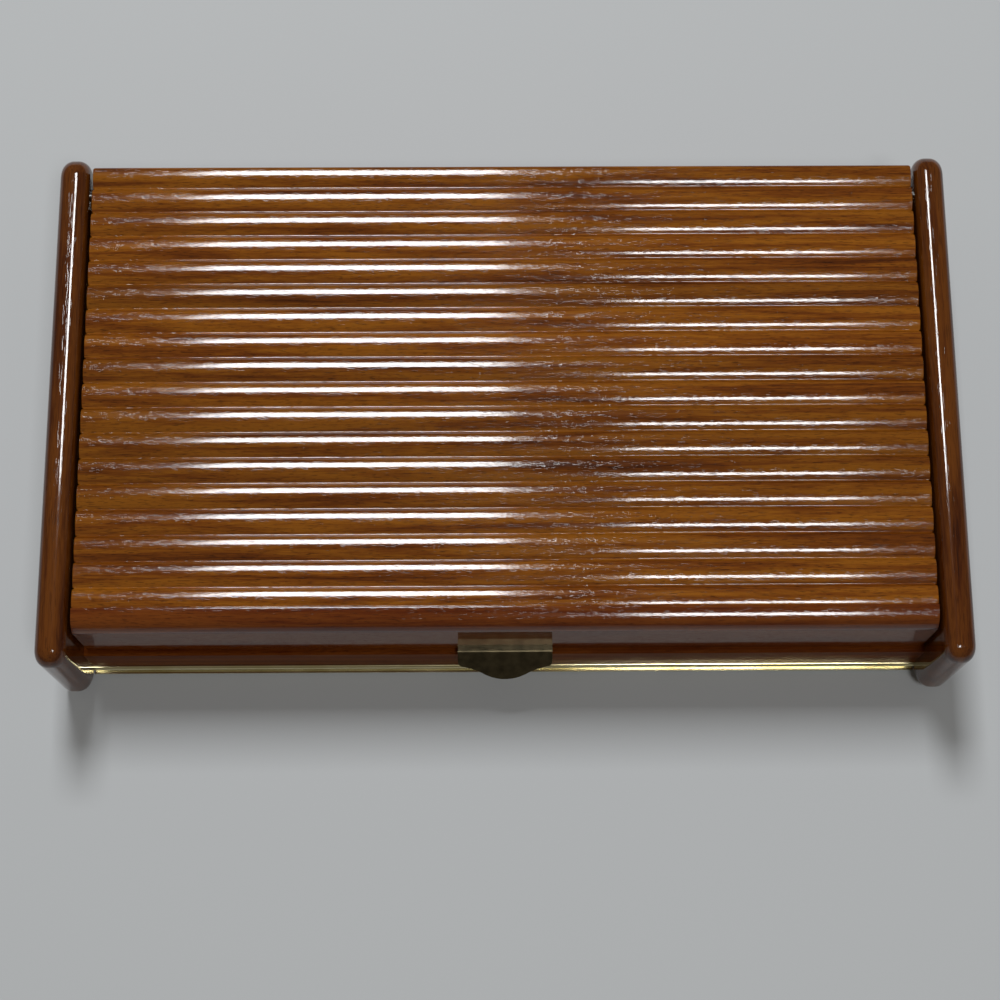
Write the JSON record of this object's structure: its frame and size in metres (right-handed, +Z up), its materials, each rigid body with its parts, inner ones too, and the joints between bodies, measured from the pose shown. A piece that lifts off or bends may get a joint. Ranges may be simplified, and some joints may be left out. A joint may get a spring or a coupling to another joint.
{
  "type": "tambour lid box",
  "caption": "Low lacquered wooden box with rounded side panels, a slatted lid that lifts on hidden pins at the back, a metal lift tab and a brass strip along the front.",
  "frame": {"origin": "under the middle of the box, on the surface it stands on", "axes": "+X to the right across the slats, +Y to the back, +Z up; the lift tab is at -Y"},
  "size_m": [0.28, 0.164, 0.053],
  "materials": {
    "lacquered_slat_wood": "gloss lacquer",
    "lacquered_panel_wood": "gloss lacquer",
    "lacquered_rail_wood": "gloss lacquer",
    "plain_wood": "sanded",
    "plywood": "thin lacquer",
    "felt": "wool felt",
    "cotton_cloth": "woven",
    "polished_brass": "polished",
    "dark_bronze": "dark patina",
    "steel_pin": "drawn"
  },
  "bodies": {
    "case": {"left_side_panel": "lacquered_panel_wood", "right_side_panel": "lacquered_panel_wood", "front_rail": "lacquered_rail_wood", "front_bead": "polished_brass", "back_wall": "lacquered_rail_wood", "bottom_panel": "plywood", "floor_lining": "felt", "case_dowels": "plain_wood"},
    "lid": {"lip_rail": "lacquered_rail_wood", "rear_rail": "lacquered_rail_wood", "left_lid_rail": "plain_wood", "right_lid_rail": "plain_wood", "lid_board": "plywood", "slat_cloth": "cotton_cloth", "left_pivot_pin": "steel_pin", "right_pivot_pin": "steel_pin", "pull_tab": "dark_bronze", "pull_brads": "steel_pin", "slat_01": "lacquered_slat_wood", "slat_02": "lacquered_slat_wood", "slat_03": "lacquered_slat_wood", "slat_04": "lacquered_slat_wood", "slat_05": "lacquered_slat_wood", "slat_06": "lacquered_slat_wood", "slat_07": "lacquered_slat_wood", "slat_08": "lacquered_slat_wood", "slat_09": "lacquered_slat_wood", "slat_10": "lacquered_slat_wood", "slat_11": "lacquered_slat_wood", "slat_12": "lacquered_slat_wood", "slat_13": "lacquered_slat_wood", "slat_14": "lacquered_slat_wood", "slat_15": "lacquered_slat_wood", "slat_16": "lacquered_slat_wood", "slat_17": "lacquered_slat_wood", "slat_18": "lacquered_slat_wood"}
  },
  "joints": [
    {"name": "lid_hinge", "type": "hinge", "parent": "case", "child": "lid", "pos_m": [0, 0.0714, 0.0435], "axis": [-1, 0, 0], "range_deg": [0, 100]}
  ]
}
